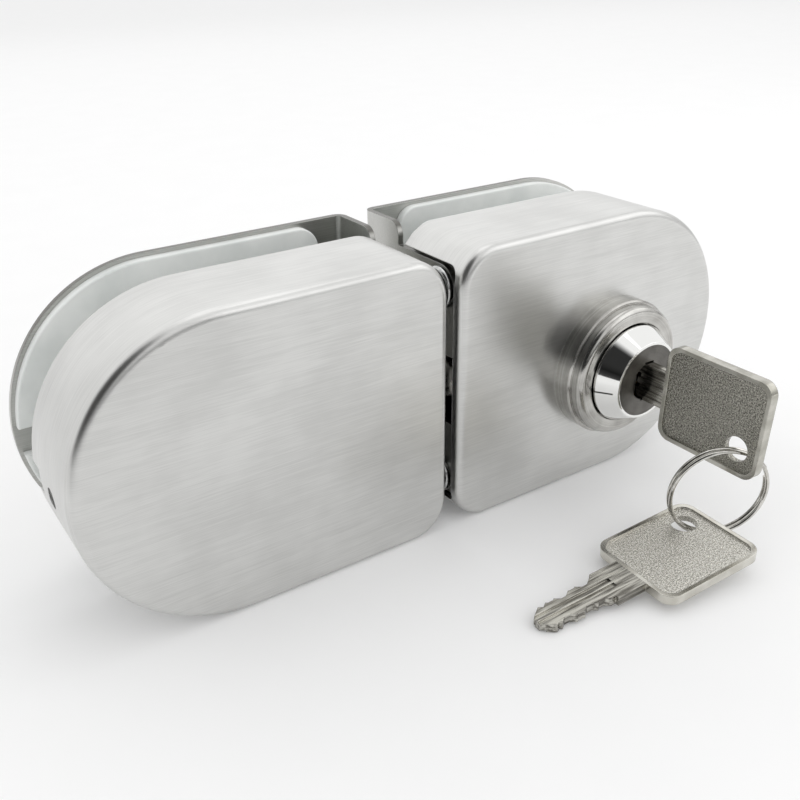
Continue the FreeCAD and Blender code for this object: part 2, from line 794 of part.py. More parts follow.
def plug():
    """Plug with its keyway and mouth, wafer slots and spring pockets, and the tail for the pinion."""
    main = cylinder_y(cylinder_x, cylinder_z, plug_radius, plug_face, plug_end)
    tail = cylinder_y(cylinder_x, cylinder_z, plug_tail_radius, plug_end - 1, gear_back + plug_tail_length)
    groove_y = gear_back + clip_side_gap - seat_clearance
    groove_end = groove_y + clip_width + 2 * seat_clearance
    ring = cylinder_y(cylinder_x, cylinder_z, plug_tail_radius + 1, groove_y, groove_end)
    core = cylinder_y(cylinder_x, cylinder_z, plug_tail_radius - clip_groove, groove_y - 1, groove_y + 2)
    solid = main.fuse(tail).removeSplitter().cut(ring.cut(core))
    half_key = key_sheet / 2 + keyway_clearance
    half_neck = neck_width / 2 + keyway_clearance
    keyway = box(
        cylinder_x - half_key, cylinder_x + half_key, plug_face - 1, plug_end - keyway_end_wall,
        cylinder_z - half_neck, cylinder_z + half_neck)
    mouth = cylinder_y(cylinder_x, cylinder_z, mouth_radius, plug_face - 1, plug_face + mouth_depth)
    left = box(
        cylinder_x - plug_radius, cylinder_x, plug_face - 1, plug_face + mouth_depth,
        cylinder_z - plug_radius, cylinder_z + plug_radius)
    cuts = [keyway, mouth.common(left)]
    half_slot = wafer_width / 2 + wafer_slot_clearance
    half_sheet = wafer_sheet / 2 + wafer_slot_clearance
    for y in wafer_places():
        cuts.append(box(
            cylinder_x - half_slot, cylinder_x + half_slot, y - half_sheet, y + half_sheet,
            cylinder_z - plug_radius - 1, cylinder_z + plug_radius + 1))
        cuts.append(Part.makeCylinder(
            spring_radius + spring_pocket_clearance, spring_length + 2 * spring_pocket_clearance,
            V(spring_x(), y, cylinder_z - spring_length / 2 - spring_pocket_clearance), V(0, 0, 1)))
    return solid.cut(cuts)


def spring_x():
    return cylinder_x + wafer_width / 2 + wafer_slot_clearance + spring_radius + spring_side_wall


def wafers():
    """Flat wafers in a row, each with a window that the key's blade passes."""
    plates = []
    half_width = wafer_width / 2
    half_key = key_sheet / 2 + wafer_window_clearance
    half_blade = blade_width / 2 + wafer_window_clearance
    for y in wafer_places():
        y0 = y - wafer_sheet / 2
        round_plate = cylinder_y(cylinder_x, cylinder_z, plug_radius - wafer_edge_gap, y0, y0 + wafer_sheet)
        strip = box(
            cylinder_x - half_width, cylinder_x + half_width, y0, y0 + wafer_sheet,
            cylinder_z - plug_radius, cylinder_z + plug_radius)
        window = box(
            cylinder_x - half_key, cylinder_x + half_key, y0 - 1, y0 + wafer_sheet + 1,
            cylinder_z - half_blade, cylinder_z + half_blade)
        plates.append(round_plate.common(strip).cut(window))
    return plates


def wafer_springs():
    """The small springs beside the wafers, each as the cylinder that it fills."""
    springs = []
    for y in wafer_places():
        springs.append(Part.makeCylinder(
            spring_radius, spring_length, V(spring_x(), y, cylinder_z - spring_length / 2), V(0, 0, 1)))
    return springs


def cut_edge(depths, shoulder, tip):
    """One edge of the blade as (place, depth) points: flats with sloping flanks that may meet."""
    points = [(shoulder, 0)]
    reach = depths[0] / cut_slope
    points.append((shoulder - cut_first + cut_flat / 2 + reach, 0))
    for k, depth in enumerate(depths):
        middle = shoulder - cut_first - cut_pitch * k
        points.append((middle + cut_flat / 2, depth))
        points.append((middle - cut_flat / 2, depth))
        if k + 1 < len(depths):
            following = depths[k + 1]
            land = cut_pitch - cut_flat
            ridge = (depth + following - cut_slope * land) / 2
            if ridge > 0:
                points.append((middle - cut_flat / 2 - (depth - ridge) / cut_slope, ridge))
            else:
                points.append((middle - cut_flat / 2 - depth / cut_slope, 0))
                points.append((middle - cut_pitch + cut_flat / 2 + following / cut_slope, 0))
    points = [p for p in points if p[0] > tip + blade_tip]
    return points + [(tip + blade_tip, depths[-1] / 2), (tip, blade_tip)]


def blade_outline(at):
    """Neck, shoulders and blade seen flat, with the wafer cuts on both edges."""
    shoulder = -neck_length
    tip = shoulder - blade_length
    half_blade = blade_width / 2
    half_neck = neck_width / 2
    points = [(neck_overlap, half_neck), (shoulder, half_neck)]
    points += [(u, half_blade - depth) for u, depth in cut_edge(cut_depths, shoulder, tip)]
    lower = [(neck_overlap, -half_neck), (shoulder, -half_neck)]
    lower += [(u, depth - half_blade) for u, depth in cut_edge(lower_cut_depths, shoulder, tip)]
    return Part.makePolygon([at(*p) for p in points + lower[::-1] + points[:1]])


def key_flat():
    """A key lying on its middle plane: the bow towards +X from 0, the blade towards -X."""
    half = key_sheet / 2

    def at(u, v):
        return V(u, v, -half)

    half_width = bow_width / 2
    bow = rounded_face(0, bow_length, -half_width, half_width, bow_corner, at).extrude(V(0, 0, key_sheet))
    blade = Part.Face(blade_outline(at)).extrude(V(0, 0, key_sheet))
    solid = bow.fuse(blade).removeSplitter()
    cuts = []
    for side in (-1, 1):
        recess = rounded_face(
            bow_rim, bow_length - bow_rim, bow_rim - half_width, half_width - bow_rim,
            bow_corner - bow_rim / 2, lambda u, v: V(u, v, side * (half - bow_recess)))
        cuts.append(recess.extrude(V(0, 0, side)))
        start = -neck_length - blade_length
        for offset in (-1, 1):
            spread = upper_groove_spread if side == 1 else lower_groove_spread
            middle = offset * (groove_width + groove_land) * spread
            z0 = half - groove_depth if side == 1 else -half - 1
            cuts.append(Part.makeBox(
                blade_length + neck_length * groove_in_neck, groove_width, groove_depth + 1,
                V(start - 1, middle - groove_width / 2, z0)))
    hole = Part.makeCylinder(
        key_hole_radius, 10, V(bow_length - key_hole_from_end, -key_hole_offset, -5), V(0, 0, 1))
    return solid.cut(cuts + [hole])


def placed(shape, origin, along, across):
    """The flat key moved so that its bow points along and its other edge across."""
    copy = shape.copy()
    turn = FreeCAD.Rotation(along, across, along.cross(across), "XYZ")
    copy.Placement = FreeCAD.Placement(origin, turn)
    return copy


def key():
    return placed(key_flat(), V(cylinder_x, -bow_from_cover, cylinder_z), V(0, -1, 0), V(0, 0, 1))


def ring_axes():
    heading = math.radians(ring_heading)
    along = V(math.cos(heading), -math.sin(heading), 0)
    return along, along.cross(V(0, 0, 1))


def ring_center():
    along, _ = ring_axes()
    lean = math.radians(ring_lean)
    crossing = V(cylinder_x, hole_y, hole_z - ring_drop)
    return crossing - along * (ring_radius * math.sin(lean)) - V(0, 0, ring_radius * math.cos(lean))


def ring_point(angle, shift=0.0):
    """A point on the ring's middle line, its angle taken from the top towards the ring's heading."""
    along, normal = ring_axes()
    turn = math.radians(angle)
    flat = along * (ring_radius * math.sin(turn)) + V(0, 0, ring_radius * math.cos(turn))
    return ring_center() + flat + normal * shift


def ring_heading_at(angle):
    """The direction that the wire runs in at an angle, with its slow climb."""
    along, normal = ring_axes()
    turn = math.radians(angle)
    way = along * (ring_radius * math.cos(turn)) - V(0, 0, ring_radius * math.sin(turn))
    way += normal * (ring_pitch / (2 * math.pi))
    return way.normalize()


def tangent_arc(start, way, end):
    """The arc from start, leaving in the direction way, to end."""
    chord = end - start
    axis = way.cross(chord).normalize()
    inward = axis.cross(way)
    center = start + inward * (chord.dot(chord) / (2 * chord.dot(inward)))
    half_turn = way.getAngle(chord)
    middle = FreeCAD.Rotation(axis, math.degrees(half_turn)).multVec(start - center)
    return arc(start, center + middle, end)


def split_ring():
    """Nearly two turns of wire side by side, swept along pairs of arcs that meet in one direction."""
    turn = ring_turns * 360
    steps = round(turn / 90)
    edges = []
    for k in range(steps):
        first = ring_first_end + turn * k / steps
        last = ring_first_end + turn * (k + 1) / steps
        start = ring_point(first, ring_pitch * ring_turns * (k / steps - 0.5))
        end = ring_point(last, ring_pitch * ring_turns * ((k + 1) / steps - 0.5))
        way = ring_heading_at(first)
        end_way = ring_heading_at(last)
        chord = end - start
        both = way + end_way
        spread = 2 * (1 - way.dot(end_way))
        along_both = chord.dot(both)
        reach = (math.sqrt(along_both ** 2 + spread * chord.dot(chord)) - along_both) / spread
        join_start = start + way * reach
        join_end = end - end_way * reach
        join = (join_start + join_end) * 0.5
        edges.append(tangent_arc(start, way, join))
        edges.append(tangent_arc(join, join_end - join_start, end))
    start_circle = Part.Circle(edges[0].Vertexes[0].Point, ring_heading_at(ring_first_end), ring_wire / 2)
    return Part.Wire(edges).makePipeShell([Part.Wire([start_circle.toShape()])], True, False)


def spare_axes():
    """The spare key's directions: the bow's heading with the pitch that puts the blade's tip on the floor."""
    heading = math.radians(spare_heading)
    reach = bow_length - key_hole_from_end + neck_length + blade_length
    lift = ring_point(spare_ring_angle).z - key_sheet / 2
    pitch = math.asin(lift / reach)
    along = V(math.cos(heading) * math.cos(pitch), math.sin(heading) * math.cos(pitch), math.sin(pitch))
    across = V(math.sin(heading), -math.cos(heading), 0)
    return along, across


def spare_hole():
    return ring_point(spare_ring_angle)


def spare_key():
    along, across = spare_axes()
    origin = spare_hole() - along * (bow_length - key_hole_from_end) + across * key_hole_offset
    return placed(key_flat(), origin, along, across)


def dust_box():
    """The open box behind the strike's slot, carried by two feet on the strike's chassis."""
    reach = hook_radius + bolt_radius - hook_pivot_x + hook_clearance
    x0 = tab_x
    x1 = reach + dust_wall
    y0 = screw_line - bolt_radius - hook_clearance - dust_wall
    y1 = screw_line + bolt_radius + hook_clearance + dust_wall
    top = strike_slot_high + hook_clearance
    outer = box(x0, x1, y0, y1, dust_low, top + dust_wall)
    inner = box(x0 - 1, reach, y0 + dust_wall, y1 - dust_wall, dust_low - 1, top)
    feet = [
        box(x0 + 1, x0 + 1 + dust_foot, y1, chassis_front, top - dust_foot, top),
        box(x0 + 1, x0 + 1 + dust_foot, y1, chassis_front, dust_low, dust_low + dust_foot),
    ]
    return outer.cut(inner).fuse(feet).removeSplitter()


lock_screws = [(screw_line, half_height - screw_inset), (screw_line, screw_inset)]
strike_screws = [(screw_line, half_height - screw_inset), (low_screw_line, low_screw_height)]


def build():
    """Every node by name, as a list of solids, still in the gap's coordinates."""
    return {
        "strike_cover": [mirrored(cover())],
        "strike_bracket": [mirrored(bracket(strike_screws, strike_passage()))],
        "strike_rear_pad": [mirrored(rear_pad_piece())],
        "strike_chassis": [mirrored(strike_chassis())],
        "strike_front_pad": [mirrored(front_pad_piece(strike_pad))],
        "strike_flange_screws": [mirrored(flange_screw(y, z)) for y, z in strike_screws],
        "strike_grub_screw": [mirrored(grub_screw())],
        "strike_dust_box": [mirrored(dust_box())],
        "lock_cover": [lock_cover()],
        "lock_bracket": [bracket(lock_screws, lock_passage())],
        "lock_rear_pad": [rear_pad_piece()],
        "lock_chassis": [lock_chassis()],
        "lock_front_pad": [front_pad_piece(lock_pad)],
        "lock_flange_screws": [flange_screw(y, z) for y, z in lock_screws],
        "lock_grub_screw": [grub_screw()],
        "case_lid": [case_lid()],
        "case_posts": case_posts(),
        "case_screws": case_screws(),
        "hook_pin": [hook_pin()],
        "hook_bolt": [hook_bolt()],
        "drive_rack": [drive_rack()],
        "rack_guide": [rack_guide()],
        "cylinder_collar": [cylinder_collar()],
        "cylinder_body": [cylinder_body()],
        "cylinder_nut": [cylinder_nut()],
        "plug": [plug()],
        "drive_pinion": [drive_pinion()],
        "pinion_clip": [pinion_clip()],
        "wafers": wafers(),
        "wafer_springs": wafer_springs(),
        "key": [key()],
        "split_ring": [split_ring()],
        "spare_key": [spare_key()],
    }


nodes = build()
whole = Part.makeCompound([solid for solids in nodes.values() for solid in solids])
bounds = whole.optimalBoundingBox(False, False)
shift = V(-(bounds.XMin + bounds.XMax) / 2, -(bounds.YMin + bounds.YMax) / 2, -bounds.ZMin)

os.makedirs("parts", exist_ok=True)
for name, solids in nodes.items():
    shape = Part.makeCompound(solids) if len(solids) > 1 else solids[0]
    shape = shape.copy()
    shape.translate(shift)
    shape.exportStep("parts/" + name + ".step")
    print(name, len(shape.Solids), "solids", round(shape.Volume, 1), "mm3", shape.isValid())
print("box", [round(v, 2) for v in (bounds.XLength, bounds.YLength, bounds.ZLength)], "shift", shift)
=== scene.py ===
import json
import math
import bpy
from mathutils import Matrix, Vector

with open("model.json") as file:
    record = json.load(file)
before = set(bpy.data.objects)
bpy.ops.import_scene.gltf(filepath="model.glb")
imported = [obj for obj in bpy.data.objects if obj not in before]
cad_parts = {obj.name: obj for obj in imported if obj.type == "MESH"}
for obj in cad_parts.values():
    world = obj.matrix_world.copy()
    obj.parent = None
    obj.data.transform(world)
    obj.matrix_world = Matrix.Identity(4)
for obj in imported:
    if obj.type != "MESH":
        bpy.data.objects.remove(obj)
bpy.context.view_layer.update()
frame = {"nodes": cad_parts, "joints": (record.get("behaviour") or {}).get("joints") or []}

# Lengths are metres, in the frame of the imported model: X along the doors, Y to the back, Z up.
nodes = frame["nodes"]
joints = {joint["name"]: joint for joint in frame["joints"]}
mm = 0.001
print("frame loaded:", len(nodes), "nodes")


def toLinear(hexColour):
    channels = [int(hexColour[i:i + 2], 16) / 255 for i in (1, 3, 5)]
    return [c / 12.92 if c <= 0.04045 else ((c + 0.055) / 1.055) ** 2.4 for c in channels] + [1.0]


def addNode(tree, kind, settings):
    # a setting is a property of the node, a value for one of its sockets, or a socket to link to it
    node = tree.nodes.new(kind)
    for name, value in settings.items():
        if isinstance(name, str) and name not in node.inputs:
            setattr(node, name, value)
        elif isinstance(value, bpy.types.NodeSocket):
            tree.links.new(value, node.inputs[name])
        else:
            node.inputs[name].default_value = value
    return node


def startMaterial(name):
    material = bpy.data.materials.new(name)
    material.use_nodes = True
    material.node_tree.nodes.clear()
    return material, material.node_tree


def closeMaterial(tree, settings):
    shader = addNode(tree, "ShaderNodeBsdfPrincipled", settings)
    addNode(tree, "ShaderNodeOutputMaterial", {"Surface": shader.outputs["BSDF"]})


def grain(tree, coordinates, lengths, detail=2.0, harshness=0.5):
    # an uneven pattern, from 0 to 1 and mostly near 0.5, whose spots have these lengths along X, Y and Z
    stretched = addNode(tree, "ShaderNodeMapping", {
        "Vector": coordinates, "Scale": [1 / length for length in lengths]})
    spots = addNode(tree, "ShaderNodeTexNoise", {
        "Vector": stretched.outputs[0], "Scale": 1.0, "Detail": detail, "Roughness": harshness})
    return spots.outputs["Fac"]


def twoTone(tree, pattern, span, first, second):
    # goes from the first colour to the second where the pattern goes through the span
    share = addNode(tree, "ShaderNodeMapRange", {"Value": pattern, "From Min": span[0], "From Max": span[1]})
    return addNode(tree, "ShaderNodeMix", {
        "data_type": "RGBA", 0: share.outputs[0], 6: toLinear(first), 7: toLinear(second)}).outputs[2]


edgeLook = {"bevelSamples": 6, "reliefStrength": 0.4}  # the strength is for finishes that give none


def softEdges(tree, height, look):
    # rounded edges that are too small to model, with the finish's own relief on top
    edge = addNode(tree, "ShaderNodeBevel", {
        "samples": edgeLook["bevelSamples"], "Radius": look["edgeRadius"]})
    strength = look.get("reliefStrength", edgeLook["reliefStrength"])
    return addNode(tree, "ShaderNodeBump", {
        "Height": height, "Strength": strength, "Distance": look["relief"],
        "Normal": edge.outputs[0]}).outputs[0]


def dress(names, material):
    for name in names:
        for slot in nodes[name].material_slots:
            slot.material = material


# Covers: 304 stainless sheet, drawn and belt brushed. The belt ran along the door on the front and then round
# the wall, so fine lines follow it, highlights spread across the lines, and faint clouds show its passes.
coverLook = {
    "steel": "#D6D6D4", "shade": "#C9C9C7", "roughness": 0.3, "roughnessSwing": 0.02, "anisotropy": 0.55,
    "line": (9 * mm, 0.2 * mm),  # real lines are under 0.05 mm wide, so they are drawn this coarse to show
    "pass": (30 * mm, 2.0 * mm), "passShare": 0.4, "cloud": 14 * mm,
    "colourSpan": (0.95, 1.45), "roughnessSpan": (0.8, 1.6),  # of the sum of the patterns, mostly near 1.2
    "frontFacing": (0.5, 0.9),  # where the lines change from the wall's way to the front's
    "relief": 0.0008 * mm, "edgeRadius": 0.2 * mm,
}


def brushedStainless(look):
    material, tree = startMaterial("belt brushed 304 stainless steel")
    place = addNode(tree, "ShaderNodeTexCoord", {})
    facing = addNode(tree, "ShaderNodeSeparateXYZ", {"Vector": place.outputs["Normal"]})
    square = addNode(tree, "ShaderNodeMath", {"operation": "ABSOLUTE", 0: facing.outputs["Y"]})
    onFront = addNode(tree, "ShaderNodeMapRange", {
        "Value": square.outputs[0], "From Min": look["frontFacing"][0], "From Max": look["frontFacing"][1],
        "interpolation_type": "SMOOTHSTEP"}).outputs[0]

    def follow(lengths):
        long, wide = lengths
        front = grain(tree, place.outputs["Object"], (long, long, wide))
        wall = grain(tree, place.outputs["Object"], (long, wide, long))
        return addNode(tree, "ShaderNodeMix", {0: onFront, 2: wall, 3: front}).outputs[0]

    lines = follow(look["line"])
    passes = follow(look["pass"])
    clouds = grain(tree, place.outputs["Object"], (look["cloud"],) * 3, 3.0)
    broad = addNode(tree, "ShaderNodeMath", {
        "operation": "MULTIPLY_ADD", 0: passes, 1: look["passShare"], 2: clouds})
    shade = addNode(tree, "ShaderNodeMath", {"operation": "ADD", 0: lines, 1: broad.outputs[0]}).outputs[0]
    low, high = look["roughnessSpan"]
    roughness = addNode(tree, "ShaderNodeMapRange", {
        "Value": shade, "From Min": low, "From Max": high,
        "To Min": look["roughness"] + look["roughnessSwing"],
        "To Max": look["roughness"] - look["roughnessSwing"]})
    acrossLines = addNode(tree, "ShaderNodeMix", {
        "data_type": "VECTOR", 0: onFront, 4: (0, 1, 0), 5: (0, 0, 1)})
    closeMaterial(tree, {
        "Metallic": 1.0, "Anisotropic": look["anisotropy"], "Roughness": roughness.outputs[0],
        "Base Color": twoTone(tree, shade, look["colourSpan"], look["shade"], look["steel"]),
        "Tangent": acrossLines.outputs[1], "Normal": softEdges(tree, lines, look)})
    return material


dress(["strike_cover", "lock_cover"], brushedStainless(coverLook))
print("covers finished")


# Brackets, chassis and case: cold rolled sheet of the same steel, ground lightly. It is duller than the
# covers, with fine grinding lines along the door, and its stamped edges are darker than its faces: partly
# the shear's duller tone, partly painted shade along the edges.
sheetLook = {
    # the cut edge colour is the shear's duller tone and painted shade along the edges together
    "steel": "#C6C6C3", "shade": "#B7B7B3", "cutEdgeAndShade": "#706F6B", "roughness": 0.3, "roughnessSwing": 0.03,
    "ground": (16 * mm, 0.25 * mm),  # drawn coarser than the real 0.05 mm lines, so that they show
    "cloud": 12 * mm, "cloudShare": 0.4,
    "colourSpan": (0.5, 0.9), "roughnessSpan": (0.4, 1.0),  # of the sum of the patterns, mostly near 0.7
    "edgeFacing": (0.25, 0.7),  # how far a spot looks up or down where a face turns to an edge
    "relief": 0.001 * mm, "edgeRadius": 0.22 * mm,
}


def groundSheet(look):
    material, tree = startMaterial("cold rolled stainless sheet")
    place = addNode(tree, "ShaderNodeTexCoord", {})
    long, wide = look["ground"]
    lines = grain(tree, place.outputs["Object"], (long, wide, wide), 3.0)
    clouds = grain(tree, place.outputs["Object"], (look["cloud"],) * 3)
    shade = addNode(tree, "ShaderNodeMath", {
        "operation": "MULTIPLY_ADD", 0: clouds, 1: look["cloudShare"], 2: lines}).outputs[0]
    # the sheets lie square to Y or X, so what looks up, down or round the end is a stamped edge; what looks
    # up or down takes the darker colour, partly the shear's duller tone and partly painted shade along the
    # edges
    facing = addNode(tree, "ShaderNodeSeparateXYZ", {"Vector": place.outputs["Normal"]})
    upright = addNode(tree, "ShaderNodeMath", {"operation": "ABSOLUTE", 0: facing.outputs["Z"]})
    onShadedEdge = addNode(tree, "ShaderNodeMapRange", {
        "Value": upright.outputs[0], "From Min": look["edgeFacing"][0], "From Max": look["edgeFacing"][1]})
    colour = addNode(tree, "ShaderNodeMix", {
        "data_type": "RGBA", 0: onShadedEdge.outputs[0], 7: toLinear(look["cutEdgeAndShade"]),
        6: twoTone(tree, shade, look["colourSpan"], look["shade"], look["steel"])})
    low, high = look["roughnessSpan"]
    roughness = addNode(tree, "ShaderNodeMapRange", {
        "Value": shade, "From Min": low, "From Max": high,
        "To Min": look["roughness"] - look["roughnessSwing"],
        "To Max": look["roughness"] + look["roughnessSwing"]})
    closeMaterial(tree, {
        "Metallic": 1.0, "Base Color": colour.outputs[2], "Roughness": roughness.outputs[0],
        "Normal": softEdges(tree, lines, look)})
    return material


dress([
    "strike_bracket", "lock_bracket", "strike_chassis", "lock_chassis", "case_lid", "strike_dust_box",
], groundSheet(sheetLook))
print("sheet parts finished")


# Pads: white silicone rubber, press moulded. It is matt and slightly milky, with the fine spark grain of
# the mould.
padLook = {
    "rubber": "#E6E8E6", "shade": "#DBDEDC", "roughness": 0.5, "index": 1.41, "milkiness": 0.15,
    "milkDepth": 1.0 * mm, "skin": 0.45 * mm, "cloud": 9 * mm, "colourSpan": (0.35, 0.6),
    "relief": 0.03 * mm, "edgeRadius": 0.4 * mm,
}


def siliconeRubber(look):
    material, tree = startMaterial("moulded white silicone rubber")
    spot = addNode(tree, "ShaderNodeTexCoord", {}).outputs["Object"]
    skin = grain(tree, spot, (look["skin"],) * 3)
    clouds = grain(tree, spot, (look["cloud"],) * 3, 3.0)
    closeMaterial(tree, {
        "Roughness": look["roughness"], "IOR": look["index"], "Subsurface Weight": look["milkiness"],
        "Subsurface Radius": (1.0, 1.0, 1.0), "Subsurface Scale": look["milkDepth"],
        "Base Color": twoTone(tree, clouds, look["colourSpan"], look["shade"], look["rubber"]),
        "Normal": softEdges(tree, skin, look)})
    return material


dress(["strike_rear_pad", "lock_rear_pad", "strike_front_pad", "lock_front_pad"], siliconeRubber(padLook))
print("pads finished")


# Cylinder: a satin turned collar, a polished and chromed bezel with its position line, and a plug faced on
# the lathe. Tool marks run round the axis, so highlights fan out from it.
cylinderLook = {
    "axis": joints["plug_turn"]["pos_m"], "markAngle": -173, "markWidth": 0.42 * mm,
    "markFade": (0.35, 0.6),  # of its width, from its middle out
    "markInner": 9.9 * mm, "markColour": "#33312F",
}
collarLook = {
    "name": "satin turned stainless steel", "metal": "#CFCECA", "shade": "#9B9995", "roughness": 0.18,
    "roughnessSwing": 0.04, "anisotropy": 0.1, "toolMark": 0.3 * mm,  # real marks are about 0.1 mm apart
    "cloud": 5 * mm, "span": (0.7, 1.3), "relief": 0.005 * mm, "edgeRadius": 0.2 * mm,
}
# the plug's colours are darker than its nickel plating: painted shade for the key's shadow on its face and
# the shaded floor it mirrors
plugLook = {
    "name": "faced zinc with nickel, darkened as painted shade", "metal": "#75736F", "shade": "#54524F", "roughness": 0.33,
    "roughnessSwing": 0.06, "anisotropy": 0.35, "toolMark": 0.32 * mm, "cloud": 3 * mm, "span": (0.7, 1.3),
    "relief": 0.008 * mm, "edgeRadius": 0.15 * mm,
}
bezelLook = {
    "chrome": "#EFEFED", "roughness": 0.04, "ripple": 4 * mm, "relief": 0.004 * mm, "edgeRadius": 0.25 * mm,
}


def measureFromAxis(tree):
    # the way from the cylinder's axis to the spot, and its distance from that axis
    place = addNode(tree, "ShaderNodeTexCoord", {})
    arm = addNode(tree, "ShaderNodeVectorMath", {
        "operation": "SUBTRACT", 0: place.outputs["Object"], 1: tuple(cylinderLook["axis"])}).outputs[0]
    flat = addNode(tree, "ShaderNodeVectorMath", {"operation": "MULTIPLY", 0: arm, 1: (1, 0, 1)})
    radius = addNode(tree, "ShaderNodeVectorMath", {"operation": "LENGTH", 0: flat.outputs[0]})
    return place, arm, radius.outputs["Value"]


def turnedMetal(look):
    material, tree = startMaterial(look["name"])
    place, arm, radius = measureFromAxis(tree)
    spot = addNode(tree, "ShaderNodeSeparateXYZ", {"Vector": arm})
    profile = addNode(tree, "ShaderNodeCombineXYZ", {"X": radius, "Y": spot.outputs["Y"]})
    marks = grain(tree, profile.outputs[0], (look["toolMark"], look["toolMark"], 1.0), 3.0)
    clouds = grain(tree, place.outputs["Object"], (look["cloud"],) * 3, 3.0)
    shade = addNode(tree, "ShaderNodeMath", {"operation": "ADD", 0: marks, 1: clouds}).outputs[0]
    low, high = look["span"]
    roughness = addNode(tree, "ShaderNodeMapRange", {
        "Value": shade, "From Min": low, "From Max": high,
        "To Min": look["roughness"] - look["roughnessSwing"],
        "To Max": look["roughness"] + look["roughnessSwing"]})
    around = addNode(tree, "ShaderNodeVectorMath", {"operation": "CROSS_PRODUCT", 0: arm, 1: (0, 1, 0)})
    across = addNode(tree, "ShaderNodeVectorMath", {
        "operation": "CROSS_PRODUCT", 0: around.outputs[0], 1: place.outputs["Normal"]})
    tangent = addNode(tree, "ShaderNodeVectorTransform", {
        "vector_type": "VECTOR", "convert_from": "OBJECT", "convert_to": "WORLD",
        "Vector": across.outputs[0]})
    closeMaterial(tree, {
        "Metallic": 1.0, "Anisotropic": look["anisotropy"], "Roughness": roughness.outputs[0],
        "Base Color": twoTone(tree, shade, look["span"], look["shade"], look["metal"]),
        "Tangent": tangent.outputs[0], "Normal": softEdges(tree, marks, look)})
    return material


def platedBezel(look):
    material, tree = startMaterial("polished chrome plate")
    place, arm, radius = measureFromAxis(tree)
    spot = addNode(tree, "ShaderNodeSeparateXYZ", {"Vector": arm})
    angle = addNode(tree, "ShaderNodeMath", {
        "operation": "ARCTAN2", 0: spot.outputs["Z"], 1: spot.outputs["X"]})
    away = addNode(tree, "ShaderNodeMath", {
        "operation": "SUBTRACT", 0: angle.outputs[0], 1: math.radians(cylinderLook["markAngle"])})
    offset = addNode(tree, "ShaderNodeMath", {"operation": "MULTIPLY", 0: away.outputs[0], 1: radius})
    distance = addNode(tree, "ShaderNodeMath", {"operation": "ABSOLUTE", 0: offset.outputs[0]})
    near, far = (cylinderLook["markWidth"] * share for share in cylinderLook["markFade"])
    nearLine = addNode(tree, "ShaderNodeMapRange", {
        "Value": distance.outputs[0], "From Min": near, "From Max": far, "To Min": 1.0, "To Max": 0.0})
    onCone = addNode(tree, "ShaderNodeMath", {
        "operation": "GREATER_THAN", 0: radius, 1: cylinderLook["markInner"]})
    line = addNode(tree, "ShaderNodeMath", {
        "operation": "MULTIPLY", 0: nearLine.outputs[0], 1: onCone.outputs[0]})
    colour = addNode(tree, "ShaderNodeMix", {
        "data_type": "RGBA", 0: line.outputs[0], 6: toLinear(look["chrome"]),
        7: toLinear(cylinderLook["markColour"])})
    ripple = grain(tree, place.outputs["Object"], (look["ripple"],) * 3, 1.0)
    closeMaterial(tree, {
        "Metallic": 1.0, "Roughness": look["roughness"], "Base Color": colour.outputs[2],
        "Normal": softEdges(tree, ripple, look)})
    return material


dress(["cylinder_collar"], turnedMetal(collarLook))
dress(["plug"], turnedMetal(plugLook))
dress(["cylinder_body", "cylinder_nut"], platedBezel(bezelLook))
print("cylinder finished")


# Keys: nickel-plated brass, die struck. The bow's sunk field keeps the die's sparkling grain, its rim is
# smooth with darker worn patches, and the blade shows the mill's lines. The place for the code is bare.
keyLook = {
    "nickel": "#D6D4CC", "worn": "#C6C3BA", "field": "#ECEAE3", "pit": "#ABA89F",
    "blade": "#C6C4BC", "bladeLine": "#6E6B65",
    "roughness": 0.18, "fieldRoughness": 0.17, "bladeRoughness": 0.22,
    "die": 0.36 * mm, "dieHarshness": 0.7, "mill": (9 * mm, 0.6 * mm), "millRelief": 0.12, "cloud": 4 * mm,
    "wornSpan": (0.4, 0.6), "pitSpan": (0.36, 0.6), "lineSpan": (0.38, 0.6),
    "relief": 0.22 * mm, "reliefStrength": 1.0, "edgeRadius": 0.25 * mm,
}
shadedKeyLook = {  # the key in use takes darker colours than its spare, as painted shade on its upright bow
    **keyLook, "nickel": "#C4C2BA", "worn": "#ABA9A0", "field": "#C9C7BD", "pit": "#67655E",
    "relief": 0.3 * mm,
}
keyShape = {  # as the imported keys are
    "thickness": 2.2 * mm, "recess": 0.4 * mm, "bow": 27.0 * mm, "bowWidth": 23.0 * mm, "rim": 1.0 * mm,
    "holeFromEnd": 5.9 * mm, "holeAside": 5.6 * mm, "neckAndBlade": 25.0 * mm, "spareHeading": -3.0,
}


def keyAxes(hole, along, across):
    # where the bow starts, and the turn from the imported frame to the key's own axes
    origin = hole - along * (keyShape["bow"] - keyShape["holeFromEnd"]) + across * keyShape["holeAside"]
    return origin, Matrix((along, across, along.cross(across))).transposed().to_euler()


